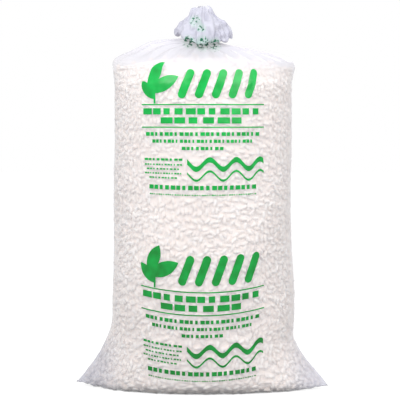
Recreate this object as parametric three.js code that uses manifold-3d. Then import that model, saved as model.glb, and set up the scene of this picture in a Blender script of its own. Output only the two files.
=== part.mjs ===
// A tall clear polythene bag of loose-fill packing peanuts, standing on its sealed bottom edge.
// The bag is one lay-flat tube of film. A straight weld closes it across the base, where the two
// corners stay behind as flat ears. The top is gathered in pleats, cinched by a nylon cable tie,
// and the spare film above the tie stands up as a crumpled tuft with its mouth still open inside.
// The fill is one bed of starch peanuts with the last few lying loose on top, under the slack film.
// Millimetres, +Z up, the front faces -Y, and the origin is at the middle of the base.
import * as THREE from "three";
import { mergeVertices } from "three/addons/utils/BufferGeometryUtils.js";
import Module from "manifold-3d";

const wasm = await Module();
wasm.setup();

// Film tube
const filmThickness = 1.6; // stands for film of about 0.05 mm
const bodyWidth = 732;
const bodyDepth = 588;
const bellySwell = 12; // the fill settles, so the lower body is this much wider on each side
const bellyHeight = 320;
const rippleDepth = 3.5; // soft bulges down the walls
const rippleEnd = 0.293488; // share of the way up the shoulders at which they start to fade

// Base with its weld and ears
const leftEarReach = 540;
const rightEarReach = 526;
const leftEarHeight = 300;
const rightEarHeight = 215;
const earLift = 14; // how far the tips curl up off the floor
const earSkew = 66; // the weld runs a little askew, so one tip points back and one forward
const footRadius = 52; // round edge between base and walls
const weldTuck = 3; // the weld lies in a shallow fold, clear of the floor
const weldFold = 14; // half the width of that fold
const weldMargin = 12; // welded film at each tip

// Shoulders, from the walls up to the neck
const shoulderHeight = 1262;
const leftCornerReach = 370;
const leftCornerHeight = 1348;
const rightCornerReach = 379;
const rightCornerHeight = 1322;
const neckRise = 40; // how far the pleated neck stands above the slack film at its front
const roofPleat = 9;

// Neck and tuft
const tieHeight = 1450;
const neckRadius = 16;
const neckPleat = 1.1;
const tuftHeight = 112; // from the tie to the highest crumple
const tuftRadius = 110;
const tuftDroop = 44; // the front lobes hang this far below the back ones
const tuftSideDroop = 20; // and the right one this far
const tuftUnderPleat = 4; // under the lobes the pleats stay shallow, clear of the roof
const tuftFullness = 1.6; // pleats open this much faster above the tie than below it
const tuftPleat = 11;
const tuftCrumple = 0.13; // the folded film stands in and out by this share of its reach
const mouthRadius = 30;

// Cable tie
const strapWidth = 4.8;
const strapThickness = 1.4;
const headLength = 8.5;
const headDepth = 6;
const headHeight = 7.4;
const tailLength = 30;
const tieClearance = 0.4;
const strapSides = 28;

// Fill
const fillGap = 0.45; // from the film to the bed
const lumpDepth = 16; // the deepest hollows between the peanuts in the bed's skin
const lumpCrest = 0.25; // share of that depth by which the crests between them vary
const lumpCover = 3; // the least hollow, so that no flat triangle of the film cuts a lump
const emptyEar = 0.4; // share of the ears' length that no peanut reaches
const bedCrown = 1366; // height of the bed's top in the middle
const bedSideFall = 48; // how much lower it is at the sides
const bedFrontFall = 26; // and at the front and back
const slackRoom = 5; // least room between the bed and the slack film of the shoulders
const peanutLength = 31;
const peanutDiameter = 15.5;
const peanutBend = 0.85; // radians from end to end
const peanutSink = 4.2; // how deep a loose peanut settles between its neighbours
const nestClearance = 0.35;
const loosePerRow = 10;
const looseRows = 2;
const looseSpacing = 62;
const looseRowSpacing = 54;

// Mesh density
const columns = 48; // lines up the tube, at equal spacing around it
const pleatColumns = 3; // columns in one pleat

const sourceSeed = 7;

// A repeatable number from 0 to 1 for two whole numbers.
function scatter(a, b) {
  const wave = Math.sin(a * 127.1 + b * 311.7 + sourceSeed * 74.7) * 43758.5453;
  return wave - Math.floor(wave);
}

const lerp = THREE.MathUtils.lerp;
const smooth = THREE.MathUtils.smoothstep;

// A quarter of the tube's section, from a side tip to the middle of the front.
// A pinch of 1 is an ellipse. A larger one draws the tip out to a flat ear.
class QuarterSection extends THREE.Curve {
  constructor(reach, halfDepth, pinch) {
    super();
    this.reach = reach;
    this.halfDepth = halfDepth;
    this.pinch = pinch;
  }
  getPoint(share) {
    const angle = (share * Math.PI) / 2;
    const depth = this.halfDepth * Math.sin(angle) ** this.pinch;
    return new THREE.Vector3(this.reach * Math.cos(angle), depth, 0);
  }
}

// One ring of film: points at equal spacing, from the right tip round the back to the left tip
// and on round the front.
function ring(right, left, halfDepth) {
  const quarter = columns / 4;
  const rightHalf = new QuarterSection(right.reach, halfDepth, right.pinch).getSpacedPoints(quarter);
  const leftHalf = new QuarterSection(left.reach, halfDepth, left.pinch).getSpacedPoints(quarter);
  const points = [];
  for (let i = 0; i < columns; i++) {
    const back = i <= columns / 2;
    const along = back ? i : columns - i;
    const onRight = along <= quarter;
    const found = onRight ? rightHalf[along] : leftHalf[columns / 2 - along];
    points.push(new THREE.Vector3(onRight ? found.x : -found.x, back ? found.y : -found.y, 0));
  }
  return points;
}

// Ears: how far each side reaches at a height, and how flat it is there.
const sides = {
  right: { earReach: rightEarReach, height: rightEarHeight, power: 1.3 },
  left: { earReach: leftEarReach, height: leftEarHeight, power: 1.7 },
};

const earPinch = 0.85; // how much flatter than an ellipse the section is at its tips

function bodyHalfWidth(height) {
  const away = (height - bellyHeight) / (0.7 * bellyHeight);
  return bodyWidth / 2 + bellySwell * Math.exp(-away * away);
}

function sideAt(side, height) {
  const ear = Math.max(0, 1 - height / side.height) ** side.power;
  const body = bodyHalfWidth(height);
  return { reach: body + (side.earReach - body) * ear, pinch: 1 + earPinch * ear };
}

// The tips curl up, and the weld between them runs askew.
function setEars(points, height) {
  for (const p of points) {
    const side = p.x > 0 ? sides.right : sides.left;
    const fade = Math.max(0, 1 - height / side.height);
    const out = Math.abs(p.x) / side.earReach;
    p.z += height + earLift * smooth(out, 0.66, 1) * fade;
    p.y -= earSkew * Math.sign(p.x) * out ** 3 * fade;
  }
  return points;
}

// Soft bulges where the fill presses on the film, fading out at the base and up the shoulders.
function ripple(points, height, upShoulders = 0) {
  const fade = smooth(height, footRadius, leftEarHeight) * (1 - smooth(upShoulders, rippleEnd, 1));
  points.forEach((p, i) => {
    const round = (2 * Math.PI * i) / columns;
    const wave = Math.sin(3 * round + height / 170) + 0.8 * Math.sin(5 * round - height / 95);
    const size = (rippleDepth * fade * wave) / Math.hypot(p.x, p.y);
    p.x *= 1 + size * 0.5;
    p.y *= 1 + size;
  });
  return points;
}

function footRow(height) {
  const round = Math.sqrt(1 - (1 - height / footRadius) ** 2);
  const right = sideAt(sides.right, height);
  const left = sideAt(sides.left, height);
  right.reach -= weldMargin * (1 - round);
  left.reach -= weldMargin * (1 - round);
  return setEars(ring(right, left, bodyDepth / 2 - footRadius * (1 - round)), height);
}

// The base: the weld itself, where front and back meet, and the floor of its fold.
function weldRow(halfDepth, inset, height) {
  const right = sideAt(sides.right, 0);
  const left = sideAt(sides.left, 0);
  right.reach -= weldMargin + inset;
  left.reach -= weldMargin + inset;
  const points = setEars(ring(right, left, halfDepth), 0);
  for (const p of points) p.z += height * (1 - smooth(Math.abs(p.x) / rightEarReach, 0.85, 1));
  return points;
}

function wallRow(height) {
  const points = ring(sideAt(sides.right, height), sideAt(sides.left, height), bodyDepth / 2);
  return ripple(setEars(points, height), height);
}

// Shoulders: each column runs in from the wall to the neck. Front and sides have their own profile,
// and the columns between them go from the one to the other.
const neckFoot = tieHeight - 1.25 * strapWidth;
const neckTop = tieHeight + 1.25 * strapWidth;

function profile(points) {
  return new THREE.SplineCurve(points.map(([reach, height]) => new THREE.Vector2(reach, height)));
}

// A side ridge runs from the wall over the corner to the neck. Its slope gives shares of the
// corner's reach, each with the share of the rise that the ridge has climbed there.
function ridge(cornerReach, cornerHeight, slope) {
  const rise = neckFoot - cornerHeight;
  const between = slope.map(([reach, climbed]) => [reach * cornerReach, cornerHeight + climbed * rise]);
  return profile([
    [bodyWidth / 2, shoulderHeight],
    [cornerReach, cornerHeight],
    ...between,
    [neckRadius, neckFoot],
  ]);
}

const roofRise = neckFoot - shoulderHeight;
const profiles = {
  front: profile([
    [bodyDepth / 2, shoulderHeight],
    [0.97 * (bodyDepth / 2), shoulderHeight + 0.27 * roofRise],
    [0.8 * (bodyDepth / 2), shoulderHeight + 0.46 * roofRise],
    [0.36 * (bodyDepth / 2), shoulderHeight + 0.68 * roofRise],
    [0.14 * (bodyDepth / 2), neckFoot - neckRise],
    [neckRadius, neckFoot],
  ]),
  right: ridge(rightCornerReach, rightCornerHeight, [[0.9, 0.3], [0.6, 0.55], [0.27, 0.74]]),
  left: ridge(leftCornerReach, leftCornerHeight, [[0.76, 0.44], [0.57, 0.77], [0.29, 0.9]]),
};

function shoulderRow(share) {
  const front = profiles.front.getPoint(share);
  const right = profiles.right.getPoint(share);
  const left = profiles.left.getPoint(share);
  // The corners are folds, sharp at the wall and rounder towards the neck.
  const pinch = lerp(1 + 0.75 * Math.sin(Math.PI * Math.min(1, 1.35 * share)), 1, share);
  const points = ring({ reach: right.x, pinch }, { reach: left.x, pinch }, front.x);
  for (const p of points) {
    const side = p.x >= 0 ? right : left;
    const towardsSide = Math.abs(p.x) / side.x;
    p.z = lerp(front.y, side.y, towardsSide ** 2);
  }
  return ripple(points, lerp(shoulderHeight, leftCornerHeight, share), share);
}

// Tuft: the film leaves the tie upwards, bends over into drooping lobes, and closes in above.
const tuftProfile = profile([
  [neckRadius, 0],
  [0.34 * tuftRadius, 0.13 * tuftHeight],
  [0.66 * tuftRadius, 0.1 * tuftHeight],
  [0.92 * tuftRadius, -0.04 * tuftHeight],
  [tuftRadius, 0.05 * tuftHeight],
  [0.99 * tuftRadius, 0.21 * tuftHeight],
  [0.84 * tuftRadius, 0.44 * tuftHeight],
  [0.52 * tuftRadius, 0.72 * tuftHeight],
  [mouthRadius, tuftHeight],
]);

// Broad lobes and creases, from how far round and how far along the tuft a point is.
function crumple(round, share) {
  const lobes = Math.cos(2 * round + 0.5) + 0.8 * Math.cos(3 * round - 4 * share + 1);
  const creases = 0.9 * Math.cos(5 * round + 6 * share + 2.6) + 0.6 * Math.cos(7 * round - 9 * share + 2);
  return lobes + creases;
}

function tuftRow(share) {
  const middle = tuftProfile.getPoint(share);
  const out = (middle.x - neckRadius) / (tuftRadius - neckRadius);
  const points = [];
  for (let i = 0; i < columns; i++) {
    const round = (2 * Math.PI * i) / columns;
    const reach = middle.x * (1 + 0.5 * tuftCrumple * out * crumple(round, share));
    // The lobes at the front and the right droop over the slack film. The left one rests on its ridge.
    const facesFront = Math.max(0, -Math.sin(round));
    const facesRight = Math.max(0, Math.cos(round));
    const droop = tuftDroop * facesFront ** 2 + tuftSideDroop * facesRight ** 2;
    const hang = droop * Math.sin(Math.PI * Math.min(1, 1.3 * share)) ** 2 * out;
    const crest = 0.05 * tuftHeight * Math.cos(2 * round + 2.2) * smooth(share, 0.6, 1);
    const flat = lerp(1, 0.84, out);
    const height = neckTop + middle.y - hang + crest;
    points.push(new THREE.Vector3(reach * Math.cos(round), flat * reach * Math.sin(round), height));
  }
  return points;
}

// A pleat is a wave in the film across a few columns, deeper or shallower from one to the next.
const shallowestPleat = 0.65;
const deepestPleat = 1.15;

function pleatAt(column, row) {
  const pleat = Math.floor(column / pleatColumns);
  const wave = Math.sin((2 * Math.PI * column) / pleatColumns + 0.35);
  return wave * lerp(shallowestPleat, deepestPleat, scatter(pleat, row));
}

// Outward normals of a stack of rings, from each point's neighbours.
function normalsOf(rows) {
  return rows.map((row, j) =>
    row.map((p, i) => {
      const around = new THREE.Vector3().subVectors(row[(i + 1) % columns], row[(i + columns - 1) % columns]);
      const above = rows[Math.min(j + 1, rows.length - 1)][i];
      const below = rows[Math.max(j - 1, 0)][i];
      const up = new THREE.Vector3().subVectors(above, below);
      return around.cross(up).normalize();
    }),
  );
}

function moveAlong(rows, normals, distance) {
  return rows.map((row, j) => row.map((p, i) => p.clone().addScaledVector(normals[j][i], distance(j, i))));
}

// The smooth tube, from the weld to the mouth. Each row knows how deep its pleats are.
const wallHeights = [0.16, 0.32, 0.5, 0.74, 1.05].map((share) => share * bellyHeight + footRadius);
const upperWall = [0.3, 0.56, 0.82].map((share) => lerp(wallHeights.at(-1), shoulderHeight, share));
const shoulderShares = [0, 0.13, 0.25, 0.37, 0.5, 0.63, 0.76, 0.88, 1];
const tuftShares = [0, 0.1, 0.24, 0.36, 0.46, 0.56, 0.66, 0.79, 0.91, 1];

const stations = [
  { points: weldRow(0, 3, weldTuck), pleat: 0 },
  { points: weldRow(weldFold, 2, 0), pleat: 0 },
  { points: footRow(0), pleat: 0 },
  { points: footRow(0.3 * footRadius), pleat: 0 },
  { points: footRow(footRadius), pleat: 0 },
  ...[...wallHeights, ...upperWall].map((height) => ({ points: wallRow(height), pleat: 0 })),
  ...shoulderShares.map((share) => {
    const reach = profiles.front.getPoint(share).x;
    const deep = Math.min(roofPleat, (neckPleat * reach) / neckRadius);
    return { points: shoulderRow(share), pleat: deep * smooth(share, 0.12, 0.5), share };
  }),
  ...tuftShares.map((share) => {
    const reach = tuftProfile.getPoint(share).x;
    const deepest = lerp(tuftUnderPleat, tuftPleat, smooth(share, 0.4, 0.6));
    const deep = Math.min(deepest, (tuftFullness * neckPleat * reach) / neckRadius);
    return { points: tuftRow(share), pleat: deep };
  }),
];
stations.at(-tuftShares.length).pleat = neckPleat;

const smoothRows = stations.map((station) => station.points);
const smoothNormals = normalsOf(smoothRows);
const pleatDepth = (j, i) => stations[j].pleat * pleatAt(i, Math.floor(j / 2));
const outerRows = moveAlong(smoothRows, smoothNormals, pleatDepth);
const outerNormals = normalsOf(outerRows);

// The film's inner face. At the tips of the base the two layers are welded, so it stops short there.
function insideOf(depth) {
  const rows = moveAlong(outerRows, outerNormals, () => -depth);
  const weldDepth = 1.5 * depth;
  rows[0] = outerRows[0].map((p) => new THREE.Vector3(p.x, p.y, p.z + weldDepth));
  rows.forEach((row, j) => {
    const height = smoothRows[j][0].z;
    const fade = Math.max(0, 1 - height / rightEarHeight);
    row[0].x -= weldMargin * fade;
    row[columns / 2].x += weldMargin * fade;
  });
  return rows;
}

// Triangles between neighbouring rings. A ring whose front and back points meet closes itself.
// From the turn row on, the skin runs back inside the first half, and its quads are split along the
// same diagonals, so that the two faces of the film stay parallel.
function skinOf(rows, turnRow = rows.length) {
  const positions = rows.flat().flatMap((p) => [p.x, p.y, p.z]);
  const index = [];
  for (let j = 0; j + 1 < rows.length; j++) {
    for (let i = 0; i < columns; i++) {
      const next = (i + 1) % columns;
      const [a, b] = [j * columns + i, j * columns + next];
      const [c, d] = [a + columns, b + columns];
      if (j < turnRow) index.push(a, b, d, a, d, c);
      else index.push(a, b, c, b, d, c);
    }
  }
  const geometry = new THREE.BufferGeometry();
  geometry.setAttribute("position", new THREE.Float32BufferAttribute(positions, 3));
  geometry.setIndex(index);
  return geometry;
}

// Booleans
function solidOf(geometry) {
  const bare = geometry.index ? geometry.toNonIndexed() : geometry.clone();
  bare.deleteAttribute("normal");
  bare.deleteAttribute("uv");
  const merged = mergeVertices(bare, 1e-3);
  return new wasm.Manifold(
    new wasm.Mesh({
      numProp: 3,
      vertProperties: merged.attributes.position.array,
      triVerts: new Uint32Array(merged.index.array),
    }),
  );
}

function geometryOf(solid) {
  const mesh = solid.getMesh();
  const geometry = new THREE.BufferGeometry();
  geometry.setAttribute("position", new THREE.Float32BufferAttribute(mesh.vertProperties, 3));
  geometry.setIndex(new THREE.BufferAttribute(mesh.triVerts, 1));
  geometry.computeVertexNormals();
  return geometry;
}

function filmBag() {
  const inner = insideOf(filmThickness);
  return skinOf([...outerRows, ...inner.reverse()], outerRows.length);
}

// The bed of peanuts. Its skin follows the film's inner face row by row, with hollows pressed in
// between the peanuts, and its top is a low mound under the slack shoulders.
const bedRowSpacing = 52;

function clearOfEar(p) {
  const beyond = Math.max(0, Math.abs(p.x) - bodyWidth / 2);
  return new THREE.Vector3(p.x - Math.sign(p.x) * emptyEar * beyond, p.y, p.z);
}

function bedTop(x, y) {
  const side = x / (bodyWidth / 2);
  const front = y / (bodyDepth / 2);
  return bedCrown - bedSideFall * side * side - bedFrontFall * front * front;
}

// A point moved towards the bag's middle axis.
function pressedIn(p, depth) {
  const keep = 1 - depth / Math.hypot(p.x, p.y);
  return new THREE.Vector3(p.x * keep, p.y * keep, p.z);
}

// Hollows and crests take turns over the skin. Each is deeper or shallower than the next.
function hollowAt(column, row) {
  const uneven = scatter(column, row);
  return (column + row) % 2 === 0 ? lerp(0.6, 1, uneven) : lumpCrest * uneven;
}

function loosefillBed() {
  const skin = insideOf(filmThickness + fillGap).map((row) => row.map(clearOfEar));
  const wallEnd = stations.length - tuftShares.length - shoulderShares.length;
  // The floor bridges the weld's fold, so the fold's own row is left out.
  const overFold = skin[0].map((p) => new THREE.Vector3(p.x, p.y, p.z + lumpCover));
  const rows = [overFold, ...skin.slice(2, 4).map((row) => row.map((p) => pressedIn(p, lumpCover)))];
  for (let j = 4; j < wallEnd + 2; j++) {
    const tall = skin[j][columns / 4].z - skin[j - 1][columns / 4].z;
    const parts = Math.max(1, Math.round(tall / bedRowSpacing));
    for (let k = 1; k <= parts; k++) {
      const share = k / parts;
      const row = skin[j].map((p, i) => new THREE.Vector3().lerpVectors(skin[j - 1][i], p, share));
      const deepest = j > 4 ? lumpDepth : 0.4 * lumpDepth;
      const number = rows.length;
      rows.push(row.map((p, i) => pressedIn(p, lumpCover + deepest * hollowAt(i, number))));
    }
  }
  const domeShares = [0.25, 0.4, 0.58, 0.78];
  for (const share of domeShares) {
    const deep = slackRoom + roofPleat;
    const number = rows.length;
    rows.push(
      shoulderRow(share).map((onFilm, i) => {
        const p = pressedIn(onFilm, deep);
        const lump = 0.6 * lumpDepth * hollowAt(i, number);
        return p.setZ(Math.min(bedTop(p.x, p.y), p.z - deep) - lump);
      }),
    );
  }
  rows.push(rows[0].map(() => new THREE.Vector3(0, 0, bedCrown)));
  return skinOf(rows);
}

// One peanut: a fat rod with round ends, bent along its length, lying along X with its back up.
function peanutShape(grow) {
  const radius = peanutDiameter / 2 + grow;
  const half = peanutLength / 2 + grow;
  const outline = new THREE.EllipseCurve(0, 0, radius, radius, -Math.PI / 2, 0);
  const lowerEnd = outline.getPoints(2).map((p) => new THREE.Vector2(Math.max(0, p.x), p.y - half + radius));
  const upperEnd = lowerEnd.map((p) => new THREE.Vector2(p.x, -p.y)).reverse();
  const waist = new THREE.Vector2(0.94 * radius, 0);
  const rod = new THREE.LatheGeometry([...lowerEnd, waist, ...upperEnd], 6);
  rod.rotateZ(Math.PI / 2);
  const bendRadius = peanutLength / peanutBend;
  const place = rod.attributes.position;
  for (let i = 0; i < place.count; i++) {
    const angle = place.getX(i) / bendRadius;
    const across = bendRadius + place.getZ(i);
    place.setX(i, across * Math.sin(angle));
    place.setZ(i, across * Math.cos(angle) - bendRadius);
  }
  return rod;
}

// Where each loose peanut lies: dropped on the bed, it tips with the slope and its ends settle in.
function loosePlaces(bedGeometry) {
  const bed = new THREE.Mesh(bedGeometry, new THREE.MeshBasicMaterial());
  const down = new THREE.Vector3(0, 0, -1);
  const up = new THREE.Vector3(0, 0, 1);
  const endDrop = (peanutLength / peanutBend) * (1 - Math.cos(peanutBend / 2));
  const places = [];
  for (let row = 0; row < looseRows; row++) {
    for (let k = 0; k < loosePerRow; k++) {
      const n = row * loosePerRow + k;
      const x = (k - (loosePerRow - 1) / 2 + 0.2 * (scatter(n, 1) - 0.5)) * looseSpacing;
      const y = (row - (looseRows - 1) / 2 + 0.2 * (scatter(n, 2) - 0.5)) * looseRowSpacing;
      const ray = new THREE.Raycaster(new THREE.Vector3(x, y, 2 * bedCrown), down);
      const hit = ray.intersectObject(bed)[0];
      const lift = peanutDiameter / 2 + endDrop - peanutSink;
      const turn = new THREE.Quaternion().setFromAxisAngle(up, 2 * Math.PI * scatter(n, 3));
      const slope = new THREE.Quaternion().setFromUnitVectors(up, hit.face.normal);
      places.push({
        position: hit.point.addScaledVector(hit.face.normal, lift),
        rotation: slope.multiply(turn),
      });
    }
  }
  return places;
}

function placed(geometry, place) {
  return geometry.clone().applyQuaternion(place.rotation).translate(...place.position);
}

// The cable tie: a strap round the pleats, its ratchet head at the front and the spare tail.
function neckTie() {
  const inside = neckRadius + deepestPleat * neckPleat + tieClearance;
  const outside = inside + strapThickness;
  const [low, high] = [tieHeight - strapWidth / 2, tieHeight + strapWidth / 2];
  const section = [
    [inside, low],
    [outside, low],
    [outside, high],
    [inside, high],
    [inside, low],
  ].map(([r, z]) => new THREE.Vector2(r, z));
  const strap = new THREE.LatheGeometry(section, strapSides).rotateX(Math.PI / 2);
  const headBack = lerp(inside, outside, 0.15);
  const head = new THREE.BoxGeometry(headLength, headDepth, headHeight);
  head.translate(0, -(headBack + headDepth / 2), tieHeight);
  const tail = new THREE.BoxGeometry(tailLength, strapThickness, strapWidth);
  tail.translate(tailLength / 2, -(outside + 0.35 * headDepth), tieHeight);
  return geometryOf(solidOf(strap).add(solidOf(head)).add(solidOf(tail)));
}

const materials = {
  film: new THREE.MeshStandardMaterial({
    name: "clear_film",
    color: 0xe6e5ee,
    roughness: 0.2,
    transparent: true,
    opacity: 0.35,
    side: THREE.DoubleSide,
  }),
  starch: new THREE.MeshStandardMaterial({
    name: "starch_foam",
    color: 0xf3ede3,
    roughness: 0.95,
    flatShading: true,
  }),
  nylon: new THREE.MeshStandardMaterial({ name: "natural_nylon", color: 0xeeede6, roughness: 0.45 }),
};

function node(name, geometry, material) {
  const mesh = new THREE.Mesh(geometry, material);
  mesh.name = name;
  return mesh;
}

const bag = new THREE.Group();
bag.name = "bag_of_packing_peanuts";
bag.add(node("film_bag", filmBag(), materials.film));
bag.add(node("neck_tie", neckTie(), materials.nylon));

// Each loose peanut presses a nest of its own shape into the bed.
const smoothBed = loosefillBed();
let bed = solidOf(smoothBed);
loosePlaces(smoothBed).forEach((place, n) => {
  const name = "loose_peanut_" + String(n + 1).padStart(2, "0");
  bag.add(node(name, placed(peanutShape(0), place), materials.starch));
  bed = bed.subtract(solidOf(placed(peanutShape(nestClearance), place)));
});
bag.add(node("loosefill_bed", geometryOf(bed), materials.starch));

export default bag;
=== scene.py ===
"""A tall clear bag of starch packing peanuts, tied at the neck, standing on its welded bottom edge.

The film is one lofted tube, drawn in against the peanuts behind it. The peanuts are one bent rod,
copied into free places against the film and over the top of the fill, pressed close together.
"""

import math

import bmesh
import bpy
import numpy as np
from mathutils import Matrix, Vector, noise
from mathutils.kdtree import KDTree


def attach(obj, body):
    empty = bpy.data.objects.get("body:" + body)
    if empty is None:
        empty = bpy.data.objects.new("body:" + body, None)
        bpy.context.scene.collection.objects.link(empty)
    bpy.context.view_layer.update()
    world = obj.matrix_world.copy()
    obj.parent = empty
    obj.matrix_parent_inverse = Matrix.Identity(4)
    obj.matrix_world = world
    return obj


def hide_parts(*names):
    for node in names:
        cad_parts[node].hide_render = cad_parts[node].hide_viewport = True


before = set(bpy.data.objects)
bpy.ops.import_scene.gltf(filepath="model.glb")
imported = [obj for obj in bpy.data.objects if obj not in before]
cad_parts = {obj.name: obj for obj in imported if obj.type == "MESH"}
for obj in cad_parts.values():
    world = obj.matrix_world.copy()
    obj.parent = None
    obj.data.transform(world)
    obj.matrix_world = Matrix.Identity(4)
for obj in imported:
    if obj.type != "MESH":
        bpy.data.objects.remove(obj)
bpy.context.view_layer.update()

bpy.ops.object.select_all(action="DESELECT")

MM = 0.001
random = np.random.default_rng(41)

# The film tube, as in the construction model
BODY_WIDTH = 732 * MM
BODY_DEPTH = 588 * MM
BELLY_SWELL = 12 * MM
BELLY_HEIGHT = 320 * MM
BELLY_SPREAD = 0.7 * BELLY_HEIGHT
RIPPLE_DEPTH = 3.5 * MM
RIPPLE_SIDE_SHARE = 0.5
RIPPLE_END = 0.293488  # share of the way up the shoulders at which the ripple starts to fade
# Each ripple: how many waves go round, the millimetres of height that turn it by a radian, its share
RIPPLES = ((3, 170, 1.0), (5, -95, 0.8))
LEFT_EAR = {"reach": 540 * MM, "height": 300 * MM, "power": 1.7}
RIGHT_EAR = {"reach": 526 * MM, "height": 215 * MM, "power": 1.3}
EAR_PINCH = 0.85
EAR_LIFT = 14 * MM
EAR_LIFT_START = 0.66
EAR_SKEW = 66 * MM
FOOT_RADIUS = 52 * MM
WELD_MARGIN = 12 * MM
SHOULDER = 1262 * MM
SHOULDER_PINCH = 0.75
LEFT_CORNER = (370 * MM, 1348 * MM)
RIGHT_CORNER = (379 * MM, 1322 * MM)
NECK_RISE = 40 * MM
NECK_RADIUS = 16 * MM
TIE_HEIGHT = 1450 * MM
STRAP_WIDTH = 4.8 * MM
TUFT_HEIGHT = 112 * MM
TUFT_RADIUS = 110 * MM
TUFT_DROOP = 44 * MM
TUFT_SIDE_DROOP = 20 * MM
TUFT_CRUMPLE = 0.13
TUFT_FLATNESS = 0.84
TUFT_CREST = 0.05 * TUFT_HEIGHT
# Each lobe wave of the tuft: how many go round, its turn over the height, its start, its share
TUFT_LOBES = ((2, 0, 0.5, 1.0), (3, -4, 1, 0.8), (5, 6, 2.6, 0.9), (7, -9, 2, 0.6))
MOUTH_RADIUS = 30 * MM

# Folds in the film
PLEATS = 24
ROOF_PLEAT = 8 * MM
TUFT_PLEAT = 6 * MM
PLEAT_SHARE = 0.09  # a pleat is never deeper than this share of the tube's reach
ROOF_CRUMPLE = 1.6 * MM
EAR_STRAIN = 2.4 * MM
RIDGE_SIZE, RIDGE_DEPTH, RIDGE_LEVEL = 60 * MM, 6 * MM, 1.1
RIDGE_NOISE = (0.9, 2.3, 3, 1.0, 2.0)  # fall-off, step to the next octave, octaves, offset and gain
FACET_SIZE, FACET_DEPTH, FACET_LEVEL = 52 * MM, 17 * MM, 0.3
LUMP_SIZE, LUMP_DEPTH = 50 * MM, 12 * MM
DEEPEST_DENT = 7 * MM
DENT_SHARE = 0.5
DENT_EASING = 3
# Rows over which dents and folds come in or fade out, from the weld, the shoulders' start or the tuft's
DENTS_IN, DENTS_OUT = (2, 8), (6, 20)
ROOF_FOLDS, TUFT_FOLDS = (6, 26), (4, 20)
# Where the ears' strain lines come in from the body outwards, and fade out upwards
STRAIN_ACROSS = (0.86 * BODY_WIDTH / 2, 1.15 * BODY_WIDTH / 2)
STRAIN_UP = (0.4 * LEFT_EAR["height"], LEFT_EAR["height"])

# The fill
BED_CROWN = 1366 * MM
BED_SIDE_FALL = 48 * MM
BED_FRONT_FALL = 26 * MM
SLACK_ROOM = 9 * MM
PEANUT_LENGTH = 31 * MM
PEANUT_DIAMETER = 15.5 * MM
PEANUT_BEND = 0.85
PEANUT_REACH = (PEANUT_LENGTH - PEANUT_DIAMETER) / 2
BEND_RADIUS = PEANUT_LENGTH / PEANUT_BEND
SMALLEST, LARGEST = 0.86, 1.03
MOST_PEANUTS = 9700
PACKING = 0.76  # neighbours press into each other, down to this share of a diameter
FILM_CLEARANCE = 1.2 * MM
BEHIND_FILM = PEANUT_DIAMETER / 2 + FILM_CLEARANCE
SKIN_DEPTH = PEANUT_DIAMETER / 2 + 1.5 * MM
ABOVE_FLOOR = PEANUT_DIAMETER / 2 + 1 * MM
FILLED_EAR = 0.9 * LEFT_EAR["reach"]
# Layers of peanuts from the skin inwards: how deep, how uneven, how many tries, how far they may tilt
LAYERS = (
    {"depth": 0.0, "spread": 3 * MM, "tries": 60000, "tilt": 0.12},
    {"depth": 8 * MM, "spread": 5 * MM, "tries": 45000, "tilt": 0.5},
    {"depth": 17 * MM, "spread": 5 * MM, "tries": 20000, "tilt": 0.7},
)
MOUND_SHARES = (0.05, 0.92)  # how far up the shoulders the mound's skin starts and ends
HEART_DEPTH = 14 * MM
HEART_EAR_SHRINK = 0.35
MEETING = 0.01 * MM  # points nearer to each other than this are joined

# Mesh density
COLUMNS = 288
FRONT_COLUMN = 3 * COLUMNS // 4  # the one down the middle of the front
SECTION_SAMPLES = 240
BASE_ROWS, FOOT_ROWS, WALL_ROWS, SHOULDER_ROWS, TUFT_ROWS = 33, 8, 149, 65, 62
EASED_ROWS, EASING_PASSES = 9, 14
SKIN_STEP, MOUND_ROWS = 3, 42
PEANUT_SIDES, PEANUT_RINGS = 8, 6
PEANUT_PIECES = 4
HEART_STEP = 3

# The print: one block of plain shapes, repeated up the film. It sags a little in the middle of the
# front, more towards the floor, as the film does.
FILM_ROUND = 2090 * MM
PRINT_LEVEL = 500 * MM  # where the film's own height is set equal to the height above the floor
PRINT_SAG = 26 * MM
SAG_FADE = (300 * MM, 1100 * MM)
PRINT_PERIOD = 725 * MM
PRINT_START = 84 * MM
PRINT_HALF_WIDTH = 262 * MM
DASH_SWELL = 1.7
# Bunches of print in the gathered film on the front: across, height and reach
PRINT_BUNCHES = (
    (-32 * MM, 1506 * MM, 34 * MM),
    (-8 * MM, 1478 * MM, 26 * MM),
    (-58 * MM, 1422 * MM, 36 * MM),
    (0 * MM, 1414 * MM, 44 * MM),
    (46 * MM, 1410 * MM, 38 * MM),
)

# How much spare film lies folded up, from 0 for one plain layer to 1. The same share greys the film with
# painted shade
ROOF_SPARE_AND_SHADE, TUFT_SPARE_AND_SHADE, EAR_SPARE_AND_SHADE = 0.5, 0.5, 0.8
PRINT_READ = 0.45  # with more spare film than this, the print isn't read
# The rows, and the parts of the ears, over which it comes in or fades out
ROOF_SPARE_ROWS, TUFT_SPARE_ROWS = (4, 22), (-8, 6)
EAR_SPARE_ACROSS = (0.84 * BODY_WIDTH / 2, 0.85 * LEFT_EAR["reach"])
EAR_SPARE_UP = (140 * MM, LEFT_EAR["height"])

# How opaque the film is: one plain layer, what spare film adds, and any film seen at a slant
PLAIN_ALPHA, SPARE_ALPHA, SLANT_ALPHA = 0.36, 0.32, 0.62

# Flecks and haze in a bunch: how much the bunch adds to their noise, and the levels they come in between
FLECK_GAIN, FLECK_LOW, FLECK_HIGH = 0.25, 0.77, 0.8
HAZE_GAIN, HAZE_LOW, HAZE_HIGH = 0.8, 0.7, 1.7
# The ink: how much painted light a metre of height adds to it, and the levels of its dark and light green
INK_PAINTED_LIGHT_RISE, INK_LOW, INK_HIGH = 0.6, 0.5, 1.5

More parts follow.
